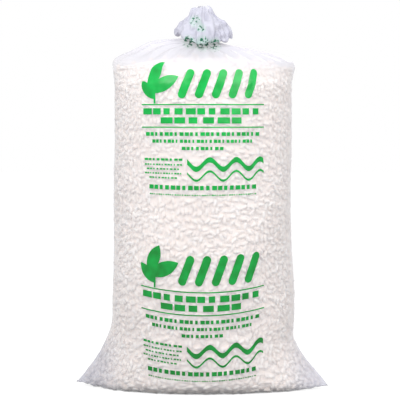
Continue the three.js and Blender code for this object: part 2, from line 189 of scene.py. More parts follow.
# Sizes of patterns in the materials, and the depths of their relief
FOAM_CELL, FOAM_SKIN, FOAM_RELIEF = 1.5 * MM, 6 * MM, 0.6 * MM
FOAM_LIGHT_DEPTH = 12 * MM  # how far light spreads inside
FLECK_SIZE = 13 * MM
CLOUD_SIZE = 20 * MM
INK_SIZE = 40 * MM
NYLON_GRAIN, NYLON_RELIEF = 0.8 * MM, 0.2 * MM


def smoothstep(low, high, value):
    t = np.clip((value - low) / (high - low), 0, 1)
    return t * t * (3 - 2 * t)


def mix(a, b, t):
    return a + (b - a) * t


def unit(v):
    return v / np.linalg.norm(v, axis=-1, keepdims=True)


# Film


def quarter(reach, half_depth, pinch, steps):
    """A quarter of the tube's section at equal spacing, from the side tip to the middle of the front."""
    angle = np.linspace(0, math.pi / 2, SECTION_SAMPLES)
    x = reach * np.cos(angle)
    y = half_depth * np.sin(angle) ** pinch
    along = np.concatenate([[0], np.cumsum(np.hypot(np.diff(x), np.diff(y)))])
    even = np.linspace(0, along[-1], steps + 1)
    return np.interp(even, along, x), np.interp(even, along, y)


def ring(right, left, half_depth):
    """One ring of film, from the right tip round the back, the left tip and the front."""
    n = COLUMNS // 4
    right_x, right_y = quarter(right[0], half_depth, right[1], n)
    left_x, left_y = quarter(left[0], half_depth, left[1], n)
    back_x = np.concatenate([right_x, -left_x[::-1][1:]])
    back_y = np.concatenate([right_y, left_y[::-1][1:]])
    x = np.concatenate([back_x, back_x[1:-1][::-1]])
    y = np.concatenate([back_y, -back_y[1:-1][::-1]])
    return np.stack([x, y, np.zeros(COLUMNS)], 1)


def body_half_width(height):
    away = (height - BELLY_HEIGHT) / BELLY_SPREAD
    return BODY_WIDTH / 2 + BELLY_SWELL * math.exp(-away * away)


def side_at(ear, height):
    """Reach and pinch of one side at a height."""
    share = max(0.0, 1 - height / ear["height"]) ** ear["power"]
    body = body_half_width(height)
    return [body + (ear["reach"] - body) * share, 1 + EAR_PINCH * share]


def set_ears(points, height):
    """Sets a row at its height, with its ears lifted and skewed, one back and one forward."""
    for ear, side in ((RIGHT_EAR, points[:, 0] > 0), (LEFT_EAR, points[:, 0] <= 0)):
        fade = max(0.0, 1 - height / ear["height"])
        out = np.abs(points[side, 0]) / ear["reach"]
        points[side, 2] += height + EAR_LIFT * smoothstep(EAR_LIFT_START, 1, out) * fade
        points[side, 1] -= EAR_SKEW * np.sign(points[side, 0]) * out**3 * fade
    return points


# The angle of each column round the tube
ROUND = 2 * math.pi * np.arange(COLUMNS) / COLUMNS


def ripple(points, height, up_shoulders=0.0):
    """Slow waves round the walls, which fade out at the foot and over the shoulders."""
    fade = smoothstep(FOOT_RADIUS, LEFT_EAR["height"], height)
    fade = fade * (1 - smoothstep(RIPPLE_END, 1, up_shoulders))
    wave = sum(share * np.sin(count * ROUND + height / MM / turn) for count, turn, share in RIPPLES)
    size = RIPPLE_DEPTH * fade * wave / np.hypot(points[:, 0], points[:, 1])
    points[:, 0] *= 1 + size * RIPPLE_SIDE_SHARE
    points[:, 1] *= 1 + size
    return points


def foot_row(height):
    """A row of the rounded foot, whose welded margin narrows to nothing at its top."""
    rounding = math.sqrt(1 - (1 - height / FOOT_RADIUS) ** 2)
    right = side_at(RIGHT_EAR, height)
    left = side_at(LEFT_EAR, height)
    right[0] -= WELD_MARGIN * (1 - rounding)
    left[0] -= WELD_MARGIN * (1 - rounding)
    return set_ears(ring(right, left, BODY_DEPTH / 2 - FOOT_RADIUS * (1 - rounding)), height)


def base_row(share):
    """The flat underside, from the weld line at 0 out to the foot at 1."""
    right = side_at(RIGHT_EAR, 0)
    left = side_at(LEFT_EAR, 0)
    right[0] -= WELD_MARGIN
    left[0] -= WELD_MARGIN
    return set_ears(ring(right, left, (BODY_DEPTH / 2 - FOOT_RADIUS) * share), 0)


def wall_row(height):
    points = ring(side_at(RIGHT_EAR, height), side_at(LEFT_EAR, height), BODY_DEPTH / 2)
    return ripple(set_ears(points, height), height)


def profile(points):
    """A smooth curve through points at even shares, as a Catmull-Rom spline."""
    points = np.array(points)
    ends = np.vstack([points[:1], points, points[-1:]])

    def at(share):
        along = np.clip(share, 0, 1) * (len(points) - 1)
        i = int(min(math.floor(along), len(points) - 2))
        t = along - i
        a, b, c, d = ends[i], ends[i + 1], ends[i + 2], ends[i + 3]
        m0, m1 = (c - a) / 2, (d - b) / 2
        return (
            (2 * t**3 - 3 * t**2 + 1) * b
            + (t**3 - 2 * t**2 + t) * m0
            + (3 * t**2 - 2 * t**3) * c
            + (t**3 - t**2) * m1
        )

    return at


NECK_FOOT = TIE_HEIGHT - 1.25 * STRAP_WIDTH
NECK_TOP = TIE_HEIGHT + 1.25 * STRAP_WIDTH
ROOF_RISE = NECK_FOOT - SHOULDER


def ridge(corner, slope):
    rise = NECK_FOOT - corner[1]
    between = [(reach * corner[0], corner[1] + climbed * rise) for reach, climbed in slope]
    return profile([(BODY_WIDTH / 2, SHOULDER), corner, *between, (NECK_RADIUS, NECK_FOOT)])


FRONT_PROFILE = profile(
    [
        (BODY_DEPTH / 2, SHOULDER),
        (0.97 * BODY_DEPTH / 2, SHOULDER + 0.27 * ROOF_RISE),
        (0.8 * BODY_DEPTH / 2, SHOULDER + 0.46 * ROOF_RISE),
        (0.36 * BODY_DEPTH / 2, SHOULDER + 0.68 * ROOF_RISE),
        (0.14 * BODY_DEPTH / 2, NECK_FOOT - NECK_RISE),
        (NECK_RADIUS, NECK_FOOT),
    ]
)
RIGHT_PROFILE = ridge(RIGHT_CORNER, [(0.9, 0.3), (0.6, 0.55), (0.27, 0.74)])
LEFT_PROFILE = ridge(LEFT_CORNER, [(0.76, 0.44), (0.57, 0.77), (0.29, 0.9)])


def shoulder_row(share):
    front = FRONT_PROFILE(share)
    right = RIGHT_PROFILE(share)
    left = LEFT_PROFILE(share)
    # The sides are pinched most about a third of the way up, and are round again at the neck.
    pinch = mix(1 + SHOULDER_PINCH * math.sin(math.pi * min(1, 1.35 * share)), 1, share)
    points = ring((right[0], pinch), (left[0], pinch), front[0])
    on_right = points[:, 0] >= 0
    reach = np.where(on_right, right[0], left[0])
    height = np.where(on_right, right[1], left[1])
    points[:, 2] = mix(front[1], height, (np.abs(points[:, 0]) / reach) ** 2)
    return ripple(points, mix(SHOULDER, LEFT_CORNER[1], share), share)


TUFT_PROFILE = profile(
    [
        (NECK_RADIUS, 0),
        (0.34 * TUFT_RADIUS, 0.13 * TUFT_HEIGHT),
        (0.66 * TUFT_RADIUS, 0.1 * TUFT_HEIGHT),
        (0.92 * TUFT_RADIUS, -0.04 * TUFT_HEIGHT),
        (TUFT_RADIUS, 0.05 * TUFT_HEIGHT),
        (0.99 * TUFT_RADIUS, 0.21 * TUFT_HEIGHT),
        (0.84 * TUFT_RADIUS, 0.44 * TUFT_HEIGHT),
        (0.52 * TUFT_RADIUS, 0.72 * TUFT_HEIGHT),
        (MOUTH_RADIUS, TUFT_HEIGHT),
    ]
)


def crumple(share):
    """The tuft's uneven lobes, all round one row."""
    return sum(size * np.cos(count * ROUND + turn * share + start) for count, turn, start, size in TUFT_LOBES)


def tuft_row(share):
    middle = TUFT_PROFILE(share)
    out = (middle[0] - NECK_RADIUS) / (TUFT_RADIUS - NECK_RADIUS)
    reach = middle[0] * (1 + 0.5 * TUFT_CRUMPLE * out * crumple(share))
    droop = TUFT_DROOP * np.maximum(0, -np.sin(ROUND)) ** 2
    droop = droop + TUFT_SIDE_DROOP * np.maximum(0, np.cos(ROUND)) ** 2
    hang = droop * math.sin(math.pi * min(1, 1.3 * share)) ** 2 * out
    crest = TUFT_CREST * np.cos(2 * ROUND + 2.2) * smoothstep(0.6, 1, share)
    flat = mix(1, TUFT_FLATNESS, out)
    x, y = reach * np.cos(ROUND), flat * reach * np.sin(ROUND)
    return np.stack([x, y, NECK_TOP + middle[1] - hang + crest], 1)


def wrinkle(seed, fewest_and_most, along, waves):
    """Soft random folds over the tube: a few waves, each with its own count, drift and phase."""
    source = np.random.default_rng(seed)
    total = np.zeros((len(along), COLUMNS))
    for _ in range(waves):
        count = source.integers(*fewest_and_most)
        drift = source.uniform(-1, 1) * 14
        phase = source.uniform(0, 2 * math.pi, 2)
        wobble = 0.9 * np.sin(along[:, None] * source.uniform(8, 20) + phase[1])
        total += np.sin(count * ROUND[None] + drift * along[:, None] + wobble + phase[0])
    return total / math.sqrt(waves)


def normals_of(grid):
    around = np.roll(grid, -1, 1) - np.roll(grid, 1, 1)
    up = np.gradient(grid, axis=0)
    normal = np.cross(around, up)
    length = np.linalg.norm(normal, axis=2, keepdims=True)
    return normal / np.maximum(length, 1e-12)


def film_grid():
    """The tube's rows from the weld to the mouth, and where the shoulders and the tuft start."""
    base = [base_row(s) for s in np.linspace(0, 1, BASE_ROWS + 1)[:-1]]
    turns = np.linspace(0, math.pi / 2, FOOT_ROWS + 1)[:-1]
    foot = [foot_row(FOOT_RADIUS * (1 - math.cos(a))) for a in turns]
    walls = [wall_row(h) for h in np.linspace(FOOT_RADIUS, SHOULDER, WALL_ROWS + 1)[:-1]]
    shoulders = [shoulder_row(s) for s in np.linspace(0, 1, SHOULDER_ROWS + 1)[:-1]]
    tuft = [tuft_row(s) for s in np.linspace(0, 1, TUFT_ROWS)]
    shoulder_start = len(base + foot + walls)
    rows = np.array(base + foot + walls + shoulders + tuft)
    # The line where the walls turn into the shoulders is eased, each row with its neighbours.
    first, last = shoulder_start - EASED_ROWS, shoulder_start + EASED_ROWS + 1
    for _ in range(EASING_PASSES):
        below, above = rows[first - 1 : last - 1], rows[first + 1 : last + 1]
        rows[first:last] = (below + 2 * rows[first:last] + above) / 4
    return rows, shoulder_start, shoulder_start + len(shoulders)


grid, SHOULDER_START, TUFT_START = film_grid()
smooth_normals = normals_of(grid)
smooth_normals[:2] = (0, 0, -1)


def comes_in(start, span):
    """From 0 to 1 over a span of the film's rows, counted from a start row."""
    return smoothstep(start + span[0], start + span[1], np.arange(len(grid)))


def pleat_depth():
    """How deep the gathers are, row by row: none on the walls, most over the roof and in the tuft."""
    depth = np.zeros(len(grid))
    shoulder = np.linspace(0, 1, TUFT_START - SHOULDER_START)
    reach = np.array([FRONT_PROFILE(s)[0] for s in shoulder])
    roof = np.minimum(ROOF_PLEAT, PLEAT_SHARE * reach)
    depth[SHOULDER_START:TUFT_START] = roof * smoothstep(0.1, 0.55, shoulder)
    tuft = np.linspace(0, 1, len(grid) - TUFT_START)
    reach = np.array([TUFT_PROFILE(s)[0] for s in tuft])
    depth[TUFT_START:] = np.minimum(TUFT_PLEAT, PLEAT_SHARE * reach)
    return depth


def creases(points):
    """Sharp ridges between flat facets, as film keeps them once it is crumpled in a fist."""
    depth = np.zeros(points.shape[:2])
    for index in np.ndindex(depth.shape):
        place = Vector(points[index])
        sharp = noise.ridged_multi_fractal(place / RIDGE_SIZE, *RIDGE_NOISE)
        near, next_near = noise.voronoi(place / FACET_SIZE)[0][:2]
        depth[index] = (sharp - RIDGE_LEVEL) * RIDGE_DEPTH
        depth[index] += (next_near - near - FACET_LEVEL) * FACET_DEPTH
        depth[index] += noise.noise(place / LUMP_SIZE) * LUMP_DEPTH
    return depth


def folds():
    """The film's own folds on top of the smooth tube: gathers, crumples, and strain lines at the ears."""
    along = np.arange(len(grid)) / len(grid)
    gathers = np.sin(PLEATS * ROUND[None] + 1.1 * wrinkle(3, (2, 7), along, 4))
    gathers = gathers * (0.6 + 0.25 * wrinkle(5, (3, 9), along, 3))
    depth = pleat_depth()[:, None] * gathers
    crumpled = comes_in(TUFT_START, TUFT_FOLDS)[:, None]
    depth[TUFT_START:] += crumpled[TUFT_START:] * creases(grid[TUFT_START:])
    roof = comes_in(SHOULDER_START, ROOF_FOLDS)[:, None] * (1 - crumpled)
    depth += ROOF_CRUMPLE * roof * wrinkle(11, (8, 22), along * 2.5, 5)
    height = grid[:, :, 2]
    ears = smoothstep(*STRAIN_ACROSS, np.abs(grid[:, :, 0])) * (1 - smoothstep(*STRAIN_UP, height))
    depth += EAR_STRAIN * ears * (height > 2 * MM) * wrinkle(14, (30, 60), along, 5)
    return depth


# Fill


def bed_top(x, y):
    """The height of the mound on top of the fill."""
    side = x / (BODY_WIDTH / 2)
    front = y / (BODY_DEPTH / 2)
    return BED_CROWN - BED_SIDE_FALL * side**2 - BED_FRONT_FALL * front**2


def fill_skin():
    """The skin that the fill's outermost peanuts lie under: the film itself up the walls, then the mound."""
    rows = [grid[j] for j in range(0, SHOULDER_START, SKIN_STEP)]
    for share in np.linspace(*MOUND_SHARES, MOUND_ROWS):
        row = shoulder_row(share)
        inset = SLACK_ROOM * smoothstep(0, 0.25, share) / np.hypot(row[:, 0], row[:, 1])
        row[:, :2] *= 1 - inset[:, None]
        row[:, 2] = np.minimum(bed_top(row[:, 0], row[:, 1]), row[:, 2] - SLACK_ROOM)
        rows.append(row)
    rows.append(np.tile([0, 0, BED_CROWN], (COLUMNS, 1)))
    return np.array(rows)


def faces_of_grid(rows, columns=COLUMNS):
    j, i = np.meshgrid(np.arange(rows - 1), np.arange(columns), indexing="ij")
    a = j * columns + i
    b = j * columns + (i + 1) % columns
    return np.stack([a, b, b + columns, a + columns], -1).reshape(-1, 4)


def random_on(skin, count):
    """Random points on the skin, evenly by area, with the outward normal at each."""
    corners = skin.reshape(-1, 3)[faces_of_grid(len(skin))]
    cross = np.cross(corners[:, 2] - corners[:, 0], corners[:, 3] - corners[:, 1])
    area = np.linalg.norm(cross, axis=1) / 2
    pick = random.choice(len(area), size=count, p=area / area.sum())
    s, t = random.random((2, count, 1))
    c = corners[pick]
    points = mix(mix(c[:, 0], c[:, 1], s), mix(c[:, 3], c[:, 2], s), t)
    normal = cross[pick] / (2 * area[pick][:, None])
    return points, normal


def tree_of(points):
    """A tree that finds the nearest of some points."""
    tree = KDTree(len(points))
    for k, point in enumerate(points):
        tree.insert(point, k)
    tree.balance()
    return tree


class Heap:
    """The peanuts placed so far, each as three balls along its length, in a grid of cells."""

    def __init__(self):
        self.cells = {}
        self.centres, self.axes, self.backs = [], [], []

    def cell(self, centre):
        return tuple(int(v) for v in np.floor(centre / PEANUT_LENGTH))

    def balls(self, centre, axis):
        return np.array([centre - axis * PEANUT_REACH, centre, centre + axis * PEANUT_REACH])

    def fits(self, centre, axis, room):
        home = self.cell(centre)
        near = []
        for dx in (-1, 0, 1):
            for dy in (-1, 0, 1):
                for dz in (-1, 0, 1):
                    near += self.cells.get((home[0] + dx, home[1] + dy, home[2] + dz), ())
        if not near:
            return True
        mine = self.balls(centre, axis)
        others = np.array(near).reshape(-1, 3)
        apart = ((mine[:, None] - others[None]) ** 2).sum(-1)
        return apart.min() >= room * room

    def add(self, centre, axis, back):
        self.cells.setdefault(self.cell(centre), []).append(self.balls(centre, axis))
        self.centres.append(centre)
        self.axes.append(axis)
        self.backs.append(back)


def fill_heap(skin):
    """Puts peanuts into free places, layer by layer inwards from the skin, round the model's loose ones."""
    heap = Heap()
    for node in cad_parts.values():
        if not node.name.startswith("loose_peanut"):
            continue
        points = np.array([v.co for v in node.data.vertices])
        centre = points.mean(0)
        axis = np.linalg.svd(points - centre)[2][0]
        heap.add(centre, axis, np.array([0.0, 0.0, 1.0]))
    own = len(heap.centres)
    film_points, film_out = grid[:, ::2].reshape(-1, 3), smooth_normals[:, ::2].reshape(-1, 3)
    film_tree = tree_of(film_points)
    for layer in LAYERS:
        points, normals = random_on(skin, layer["tries"])
        depth = SKIN_DEPTH + layer["depth"] + layer["spread"] * random.random(layer["tries"])
        tangents = unit(np.cross(normals, unit(random.normal(size=normals.shape))))
        axes = unit(tangents + normals * random.uniform(-1, 1, (len(normals), 1)) * layer["tilt"])
        centres = points - normals * depth[:, None]
        for centre, axis, normal in zip(centres, axes, normals):
            if len(heap.centres) == own + MOST_PEANUTS:
                break
            if abs(centre[0]) > FILLED_EAR or centre[2] < ABOVE_FLOOR:
                continue
            if not heap.fits(centre, axis, PACKING * PEANUT_DIAMETER):
                continue
            nearest = [(ball, film_tree.find(ball)[1]) for ball in heap.balls(centre, axis)]
            if all(np.dot(ball - film_points[k], film_out[k]) < -BEHIND_FILM for ball, k in nearest):
                heap.add(centre, axis, normal)
    keep = slice(own, None)
    return np.array(heap.centres)[keep], np.array(heap.axes)[keep], np.array(heap.backs)[keep]


def one_peanut():
    """A fat rod with round ends, bent along its length, with its back up."""
    bpy.ops.mesh.primitive_uv_sphere_add(
        segments=PEANUT_SIDES, ring_count=PEANUT_RINGS, radius=PEANUT_DIAMETER / 2
    )
    rod = bpy.context.object
    mesh = rod.data
    bpy.data.objects.remove(rod)
    points = np.array([v.co for v in mesh.vertices])[:, [2, 0, 1]]
    # Sorted, because Blender's own order of points and faces can change from run to run
    order = np.lexsort(points.T)
    rank = np.argsort(order)
    faces = sorted(tuple(rank[list(p.vertices)].tolist()) for p in mesh.polygons)
    points = points[order]
    bpy.data.meshes.remove(mesh)
    # The ring round the middle stays, and each half moves out along the rod.
    points[:, 0] += np.sign(np.round(points[:, 0], 6)) * PEANUT_REACH
    angle = points[:, 0] / BEND_RADIUS
    across = BEND_RADIUS + points[:, 2]
    points = np.stack([across * np.sin(angle), points[:, 1], across * np.cos(angle) - BEND_RADIUS], 1)
    return points, faces


def new_piece(name, points, faces):
    mesh = bpy.data.meshes.new(name)
    mesh.from_pydata(points.tolist(), [], [tuple(f) for f in faces])
    mesh.update()
    piece = bpy.data.objects.new(name, mesh)
    bpy.context.collection.objects.link(piece)
    for polygon in mesh.polygons:
        polygon.use_smooth = True
    return piece


def turned(axes, backs):
    """Each peanut's own frame: along, sideways and up, turned at random around its length."""
    sideways = unit(np.cross(backs, axes))
    up = np.cross(axes, sideways)
    spin = random.uniform(0, 2 * math.pi, (len(axes), 1))
    up, sideways = up * np.cos(spin) + sideways * np.sin(spin), sideways * np.cos(spin) - up * np.sin(spin)
    return np.stack([axes, sideways, up], 1)


def peanut_piece(name, centres, frames):
    """Many copies of the peanut in one mesh, each with its own size and tone."""
    points, faces = one_peanut()
    size = random.uniform(SMALLEST, LARGEST, (len(centres), 1, 1))
    placed = np.einsum("pk,nkd->npd", points, frames) * size + centres[:, None]
    count = len(points)
    sizes = [len(f) for f in faces]
    mesh = bpy.data.meshes.new(name)
    n = len(centres)
    mesh.vertices.add(n * count)
    mesh.vertices.foreach_set("co", placed.reshape(-1))
    flat = np.concatenate([np.array(f) for f in faces])
    corners = (flat[None] + (np.arange(n) * count)[:, None]).reshape(-1)
    mesh.loops.add(len(corners))
    mesh.loops.foreach_set("vertex_index", corners.astype(np.int32))
    totals = np.tile(sizes, n)
    mesh.polygons.add(len(totals))
    mesh.polygons.foreach_set("loop_start", np.concatenate([[0], np.cumsum(totals)[:-1]]).astype(np.int32))
    mesh.update(calc_edges=True)
    mesh.validate()
    mesh.polygons.foreach_set("use_smooth", np.ones(len(totals), bool))
    tone = mesh.attributes.new("tone", "FLOAT", "POINT")
    tone.data.foreach_set("value", np.repeat(random.random(n), count))
    piece = bpy.data.objects.new(name, mesh)
    bpy.context.collection.objects.link(piece)
    return piece


def draw_in(centres, frames):
    """How far the film sinks between the peanuts behind it, and how far it could before it meets one."""
    along = frames[:, 0] * BEND_RADIUS * math.sin(PEANUT_REACH / BEND_RADIUS)
    drop = frames[:, 2] * BEND_RADIUS * (1 - math.cos(PEANUT_REACH / BEND_RADIUS))
    tree = tree_of(np.concatenate([centres - along - drop, centres, centres + along - drop]))
    room = np.full(grid.shape[:2], PEANUT_LENGTH)
    for j in range(2, TUFT_START):
        for i in range(COLUMNS):
            room[j, i] = tree.find(grid[j, i])[2] - LARGEST * PEANUT_DIAMETER / 2 - FILM_CLEARANCE
    # The film bridges the hollows, so its dents are softer and shallower than they are.
    sink = np.clip(room, 0, DEEPEST_DENT)
    for _ in range(DENT_EASING):
        sides = np.roll(sink, 1, 1) + np.roll(sink, -1, 1)
        ends = np.roll(sink, 1, 0) + np.roll(sink, -1, 0)
        sink = (2 * sink + sides + ends) / 6
    held = comes_in(0, DENTS_IN) * (1 - comes_in(SHOULDER_START, DENTS_OUT))
    return np.minimum(DENT_SHARE * sink * held[:, None], np.maximum(room, 0)), room


def flat_film_map(piece):
    """The flat film's own coordinates in metres: across from the middle of the front, and up."""
    front = grid[:, FRONT_COLUMN]
    up = np.concatenate([[0], np.cumsum(np.linalg.norm(np.diff(front, axis=0), axis=1))])
    level = int(np.searchsorted(front[:SHOULDER_START, 2], PRINT_LEVEL))
    up += front[level, 2] - up[level]
    lengths = np.linalg.norm(np.roll(grid, -1, 1) - grid, axis=2).sum(1)
    lengths[SHOULDER_START:] = FILM_ROUND
    step = lengths / COLUMNS
    j, i = np.meshgrid(np.arange(len(grid) - 1), np.arange(COLUMNS), indexing="ij")
    corner_rows = np.stack([j, j, j + 1, j + 1], -1).reshape(-1)
    from_front = (i - FRONT_COLUMN + COLUMNS // 2) % COLUMNS - COLUMNS // 2
    corner_columns = np.stack([from_front, from_front + 1, from_front + 1, from_front], -1).reshape(-1)
    across = corner_columns * step[corner_rows]
    height = up[corner_rows]
    low = 1 - smoothstep(*SAG_FADE, height)
    sag = PRINT_SAG * low * np.maximum(0, 1 - (across / PRINT_HALF_WIDTH) ** 2)
    flat = np.stack([across, height + sag], 1)
    layer = piece.data.uv_layers.new(name="flat_film")
    layer.data.foreach_set("uv", flat.reshape(-1).astype(np.float32))


def mark_spare_film_and_shade(piece):
    """How much spare film lies folded up, and so how much painted shade greys it: none on the walls, some on
    roof and ears, most in the tuft.
    """
    roof = ROOF_SPARE_AND_SHADE * comes_in(SHOULDER_START, ROOF_SPARE_ROWS)
    tuft = TUFT_SPARE_AND_SHADE * comes_in(TUFT_START, TUFT_SPARE_ROWS)
    outwards = smoothstep(*EAR_SPARE_ACROSS, np.abs(grid[:, :, 0]))
    ears = EAR_SPARE_AND_SHADE * outwards * (1 - smoothstep(*EAR_SPARE_UP, grid[:, :, 2]))
    spare_film_and_shade = piece.data.attributes.new("spare_film_and_shade", "FLOAT", "POINT")
    spare_film_and_shade.data.foreach_set("value", ((roof + tuft)[:, None] + ears).reshape(-1))


def close_seam(piece):
    """Joins points that meet: front and back along the weld, and all round at the crown of the fill."""
    mesh = bmesh.new()
    mesh.from_mesh(piece.data)
    bmesh.ops.remove_doubles(mesh, verts=mesh.verts, dist=MEETING)
    mesh.to_mesh(piece.data)
    mesh.free()


# Materials


def linear(colour):
    """sRGB hex to linear."""
    parts = [int(colour[k : k + 2], 16) / 255 for k in (1, 3, 5)]
    return tuple(p / 12.92 if p <= 0.04045 else ((p + 0.055) / 1.055) ** 2.4 for p in parts) + (1.0,)


def add_node(tree, kind, inputs=None, **settings):
    """Adds a node with its settings. An input may be another node's output, which is linked, or a value."""
    node = tree.nodes.new(kind)
    for key, value in settings.items():
        setattr(node, key, value)
    pairs = inputs.items() if isinstance(inputs, dict) else enumerate(inputs or ())
    for key, value in pairs:
        if isinstance(value, bpy.types.NodeSocket):
            tree.links.new(value, node.inputs[key])
        else:
            node.inputs[key].default_value = value
    return node


def new_material(name):
    material = bpy.data.materials.new(name)
    material.use_nodes = True
    material.node_tree.nodes.clear()
    return material, material.node_tree


def starch_foam():
    """Puffed starch, extruded and cut: matte, cream white, letting light in, uneven from piece to piece."""
    material, tree = new_material("puffed_starch_foam")
    place = add_node(tree, "ShaderNodeTexCoord").outputs["Object"]
    tone = add_node(tree, "ShaderNodeAttribute", attribute_name="tone")
    ramp = add_node(tree, "ShaderNodeValToRGB", {"Fac": tone.outputs["Fac"]})
    ramp.color_ramp.elements[0].color = linear("#f8ece3")
    ramp.color_ramp.elements[1].color = linear("#fff9f2")
    # Closed cells under a skin that is uneven over a few millimetres
    cells = add_node(tree, "ShaderNodeTexVoronoi", {"Vector": place, "Scale": 1 / FOAM_CELL})
    skin = add_node(tree, "ShaderNodeTexNoise", {"Vector": place, "Scale": 1 / FOAM_SKIN, "Detail": 3.0})
    relief = add_node(
        tree, "ShaderNodeMath", (cells.outputs["Distance"], skin.outputs["Fac"]), operation="ADD"
    )
    bump = add_node(
        tree, "ShaderNodeBump", {"Strength": 0.3, "Distance": FOAM_RELIEF, "Height": relief.outputs[0]}
    )
    shader = add_node(
        tree,
        "ShaderNodeBsdfPrincipled",
        {
            "Base Color": ramp.outputs["Color"],
            "Normal": bump.outputs["Normal"],
            "Roughness": 0.85,
            "IOR": 1.45,
            "Specular IOR Level": 0.3,
            "Subsurface Weight": 0.35,
            "Subsurface Radius": (1.0, 0.9, 0.8),
            "Subsurface Scale": FOAM_LIGHT_DEPTH,
        },
    )
    add_node(tree, "ShaderNodeOutputMaterial", {"Surface": shader.outputs[0]})
    return material


# The print's shapes. Places are metres on the flat film, across from the middle of the front and up from
# the bottom of a block.


def bar(tree, across, up, middle, half):
    """1 inside a rectangle, 0 outside."""
    in_width = add_node(tree, "ShaderNodeMath", (across, middle[0], half[0]), operation="COMPARE")
    in_height = add_node(tree, "ShaderNodeMath", (up, middle[1], half[1]), operation="COMPARE")
    return add_node(
        tree, "ShaderNodeMath", (in_width.outputs[0], in_height.outputs[0]), operation="MULTIPLY"
    ).outputs[0]


def dashes(tree, across, up, middle, half, pitch, inked, uneven):
    """A row of whole dashes in about a rectangle. Their lengths swell and shrink by the uneven share."""
    half_row = round(2 * half[0] / pitch) * pitch / 2
    start = half_row - middle[0]
    along = add_node(tree, "ShaderNodeMath", (across, start), operation="ADD").outputs[0]
    count = add_node(tree, "ShaderNodeMath", (along, pitch), operation="DIVIDE").outputs[0]
    along = add_node(tree, "ShaderNodeMath", (count, 1.0), operation="FLOORED_MODULO").outputs[0]
    swell = add_node(tree, "ShaderNodeMath", (count, DASH_SWELL), operation="MULTIPLY").outputs[0]
    wave = add_node(tree, "ShaderNodeMath", (swell,), operation="SINE").outputs[0]
    limit = add_node(tree, "ShaderNodeMath", (wave, uneven, inked), operation="MULTIPLY_ADD").outputs[0]
    dash = add_node(tree, "ShaderNodeMath", (along, limit), operation="LESS_THAN").outputs[0]
    row = bar(tree, across, up, middle, (half_row, half[1]))
    return add_node(tree, "ShaderNodeMath", (dash, row), operation="MULTIPLY").outputs[0]


def leaf(tree, place, middle, turn, length, width):
    """A pointed leaf, where two equal circles overlap."""
    radius = (length**2 + width**2) / (4 * width)
    offset = radius - width / 2
    reach = []
    for way in (-1, 1):
        centre = (
            middle[0] - way * offset * math.sin(turn),
            middle[1] + way * offset * math.cos(turn),
            0,
        )
        found = add_node(tree, "ShaderNodeVectorMath", (place, centre), operation="DISTANCE")
        reach.append(found.outputs["Value"])
    far = add_node(tree, "ShaderNodeMath", reach, operation="MAXIMUM").outputs[0]
    return add_node(tree, "ShaderNodeMath", (far, radius), operation="LESS_THAN").outputs[0]


def rod_row(tree, across, up, middle, half, pitch, turn, rod):
    """A row of slanted rods with round ends, one for each pitch."""
    wrapped = add_node(
        tree, "ShaderNodeMath", (across, pitch / 2, -pitch / 2), operation="WRAP"
    ).outputs[0]
    height = add_node(tree, "ShaderNodeMath", (up, middle[1]), operation="SUBTRACT").outputs[0]
    place = add_node(tree, "ShaderNodeCombineXYZ", (wrapped, height)).outputs[0]
    along_way = (math.cos(turn), math.sin(turn), 0)
    across_way = (-math.sin(turn), math.cos(turn), 0)
    along = add_node(tree, "ShaderNodeVectorMath", (place, along_way), operation="DOT_PRODUCT")
    aside = add_node(tree, "ShaderNodeVectorMath", (place, across_way), operation="DOT_PRODUCT")
    past = add_node(tree, "ShaderNodeMath", (along.outputs["Value"],), operation="ABSOLUTE").outputs[0]
    past = add_node(tree, "ShaderNodeMath", (past, rod[0]), operation="SUBTRACT").outputs[0]
    past = add_node(tree, "ShaderNodeMath", (past, 0.0), operation="MAXIMUM").outputs[0]
    reach = add_node(tree, "ShaderNodeCombineXYZ", (past, aside.outputs["Value"])).outputs[0]
    reach = add_node(tree, "ShaderNodeVectorMath", (reach,), operation="LENGTH").outputs["Value"]
    inside = add_node(tree, "ShaderNodeMath", (reach, rod[1]), operation="LESS_THAN").outputs[0]
    row = bar(tree, across, up, middle, half)
    return add_node(tree, "ShaderNodeMath", (inside, row), operation="MULTIPLY").outputs[0]


def wave_band(tree, across, up, middle, half, swing, pitch, thick):
    """A wavy band inside a rectangle."""
    turns = add_node(tree, "ShaderNodeMath", (across, 2 * math.pi / pitch), operation="MULTIPLY").outputs[0]
    wave = add_node(tree, "ShaderNodeMath", (turns,), operation="SINE").outputs[0]
    line = add_node(tree, "ShaderNodeMath", (wave, swing, middle[1]), operation="MULTIPLY_ADD").outputs[0]
    band = add_node(tree, "ShaderNodeMath", (up, line, thick / 2), operation="COMPARE").outputs[0]
    row = bar(tree, across, up, middle, half)
    return add_node(tree, "ShaderNodeMath", (band, row), operation="MULTIPLY").outputs[0]


